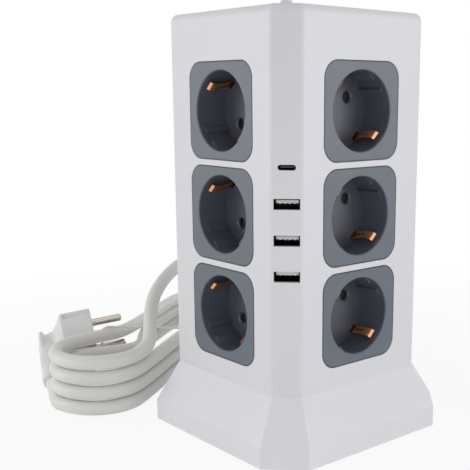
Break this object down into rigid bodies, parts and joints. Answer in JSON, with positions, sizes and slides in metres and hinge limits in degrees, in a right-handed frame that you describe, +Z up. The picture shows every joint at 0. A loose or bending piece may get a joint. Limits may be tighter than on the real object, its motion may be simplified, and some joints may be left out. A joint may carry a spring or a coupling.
{
  "type": "tower power strip",
  "caption": "Upright four-sided tower with round earthed wells on each face, USB ports on one corner, a rocker and a resettable breaker on top, a flared base and a lead tied in a hank.",
  "frame": {"origin": "under the middle of the base, on the surface that the tower stands on", "axes": "+Z up; the USB corner points to +X -Y and the cord leaves the opposite corner"},
  "size_m": [0.2718, 0.1955, 0.2231],
  "materials": {
    "housing": "satin",
    "base_plate": "satin",
    "socket_plastic": "satin",
    "shutter_plastic": "satin",
    "earth_copper": "satin",
    "busbar_brass": "satin",
    "column_plastic": "satin",
    "circuit_board": "satin",
    "port_steel": "satin",
    "port_tongue": "satin",
    "switch_black": "gloss",
    "rocker_red": "gloss",
    "button_pale": "satin",
    "feet_rubber": "matte",
    "screw_steel": "satin",
    "cord_pvc": "satin",
    "tie_plastic": "satin",
    "pin_nickel": "polished"
  },
  "bodies": {
    "tower": {"front_shell": "housing", "rear_shell": "housing", "top_cap": "housing", "base_skirt": "housing", "base_plate": "base_plate", "rubber_feet": "feet_rubber", "base_screws": "screw_steel", "socket_a1": "socket_plastic", "socket_a2": "socket_plastic", "socket_a3": "socket_plastic", "socket_b1": "socket_plastic", "socket_b2": "socket_plastic", "socket_b3": "socket_plastic", "socket_c1": "socket_plastic", "socket_c2": "socket_plastic", "socket_c3": "socket_plastic", "socket_d1": "socket_plastic", "socket_d2": "socket_plastic", "socket_d3": "socket_plastic", "earth_strip_a": "earth_copper", "earth_strip_b": "earth_copper", "earth_strip_c": "earth_copper", "earth_strip_d": "earth_copper", "live_busbar_a": "busbar_brass", "live_busbar_b": "busbar_brass", "live_busbar_c": "busbar_brass", "live_busbar_d": "busbar_brass", "neutral_busbar_a": "busbar_brass", "neutral_busbar_b": "busbar_brass", "neutral_busbar_c": "busbar_brass", "neutral_busbar_d": "busbar_brass", "busbar_column": "column_plastic", "usb_board": "circuit_board", "usb_a_shells": "port_steel", "usb_c_shell": "port_steel", "usb_tongues": "port_tongue", "switch_housing": "switch_black", "breaker_body": "switch_black", "strain_relief": "cord_pvc", "cord_lead": "cord_pvc", "cord_hank": "cord_pvc", "cord_plug_lead": "cord_pvc", "cord_tie": "tie_plastic", "plug_body": "cord_pvc", "plug_pins": "pin_nickel", "plug_earth_contacts": "busbar_brass"},
    "shutter_a1": {"shutter_a1": "shutter_plastic"},
    "shutter_a2": {"shutter_a2": "shutter_plastic"},
    "shutter_a3": {"shutter_a3": "shutter_plastic"},
    "shutter_b1": {"shutter_b1": "shutter_plastic"},
    "shutter_b2": {"shutter_b2": "shutter_plastic"},
    "shutter_b3": {"shutter_b3": "shutter_plastic"},
    "shutter_c1": {"shutter_c1": "shutter_plastic"},
    "shutter_c2": {"shutter_c2": "shutter_plastic"},
    "shutter_c3": {"shutter_c3": "shutter_plastic"},
    "shutter_d1": {"shutter_d1": "shutter_plastic"},
    "shutter_d2": {"shutter_d2": "shutter_plastic"},
    "shutter_d3": {"shutter_d3": "shutter_plastic"},
    "rocker": {"switch_rocker": "rocker_red"},
    "breaker_button": {"breaker_button": "button_pale"}
  },
  "joints": [
    {"name": "shutter_a1_turn", "type": "hinge", "parent": "tower", "child": "shutter_a1", "pos_m": [0, -0.0284, 0.1694], "axis": [0, -1, 0], "range_deg": [-40, 0], "stiffness_Nm_per_rad": 0.004, "springref_deg": 11.46},
    {"name": "shutter_a2_turn", "type": "hinge", "parent": "tower", "child": "shutter_a2", "pos_m": [0, -0.0284, 0.1184], "axis": [0, -1, 0], "range_deg": [-40, 0], "stiffness_Nm_per_rad": 0.004, "springref_deg": 11.46},
    {"name": "shutter_a3_turn", "type": "hinge", "parent": "tower", "child": "shutter_a3", "pos_m": [0, -0.0284, 0.0674], "axis": [0, -1, 0], "range_deg": [-40, 0], "stiffness_Nm_per_rad": 0.004, "springref_deg": 11.46},
    {"name": "shutter_b1_turn", "type": "hinge", "parent": "tower", "child": "shutter_b1", "pos_m": [0.0284, 0, 0.1694], "axis": [1, 0, 0], "range_deg": [-40, 0], "stiffness_Nm_per_rad": 0.004, "springref_deg": 11.46},
    {"name": "shutter_b2_turn", "type": "hinge", "parent": "tower", "child": "shutter_b2", "pos_m": [0.0284, 0, 0.1184], "axis": [1, 0, 0], "range_deg": [-40, 0], "stiffness_Nm_per_rad": 0.004, "springref_deg": 11.46},
    {"name": "shutter_b3_turn", "type": "hinge", "parent": "tower", "child": "shutter_b3", "pos_m": [0.0284, 0, 0.0674], "axis": [1, 0, 0], "range_deg": [-40, 0], "stiffness_Nm_per_rad": 0.004, "springref_deg": 11.46},
    {"name": "shutter_c1_turn", "type": "hinge", "parent": "tower", "child": "shutter_c1", "pos_m": [0, 0.0284, 0.1694], "axis": [0, 1, 0], "range_deg": [-40, 0], "stiffness_Nm_per_rad": 0.004, "springref_deg": 11.46},
    {"name": "shutter_c2_turn", "type": "hinge", "parent": "tower", "child": "shutter_c2", "pos_m": [0, 0.0284, 0.1184], "axis": [0, 1, 0], "range_deg": [-40, 0], "stiffness_Nm_per_rad": 0.004, "springref_deg": 11.46},
    {"name": "shutter_c3_turn", "type": "hinge", "parent": "tower", "child": "shutter_c3", "pos_m": [0, 0.0284, 0.0674], "axis": [0, 1, 0], "range_deg": [-40, 0], "stiffness_Nm_per_rad": 0.004, "springref_deg": 11.46},
    {"name": "shutter_d1_turn", "type": "hinge", "parent": "tower", "child": "shutter_d1", "pos_m": [-0.0284, 0, 0.1694], "axis": [-1, 0, 0], "range_deg": [-40, 0], "stiffness_Nm_per_rad": 0.004, "springref_deg": 11.46},
    {"name": "shutter_d2_turn", "type": "hinge", "parent": "tower", "child": "shutter_d2", "pos_m": [-0.0284, 0, 0.1184], "axis": [-1, 0, 0], "range_deg": [-40, 0], "stiffness_Nm_per_rad": 0.004, "springref_deg": 11.46},
    {"name": "shutter_d3_turn", "type": "hinge", "parent": "tower", "child": "shutter_d3", "pos_m": [-0.0284, 0, 0.0674], "axis": [-1, 0, 0], "range_deg": [-40, 0], "stiffness_Nm_per_rad": 0.004, "springref_deg": 11.46},
    {"name": "rocker_tilt", "type": "hinge", "parent": "tower", "child": "rocker", "pos_m": [0, 0.014, 0.2136], "axis": [1, 0, 0], "range_deg": [-18, 0]},
    {"name": "breaker_button_press", "type": "slide", "parent": "tower", "child": "breaker_button", "axis": [0, 0, 1], "range_m": [-0.002, 0], "stiffness_N_per_m": 400, "springref_m": 0.001}
  ]
}
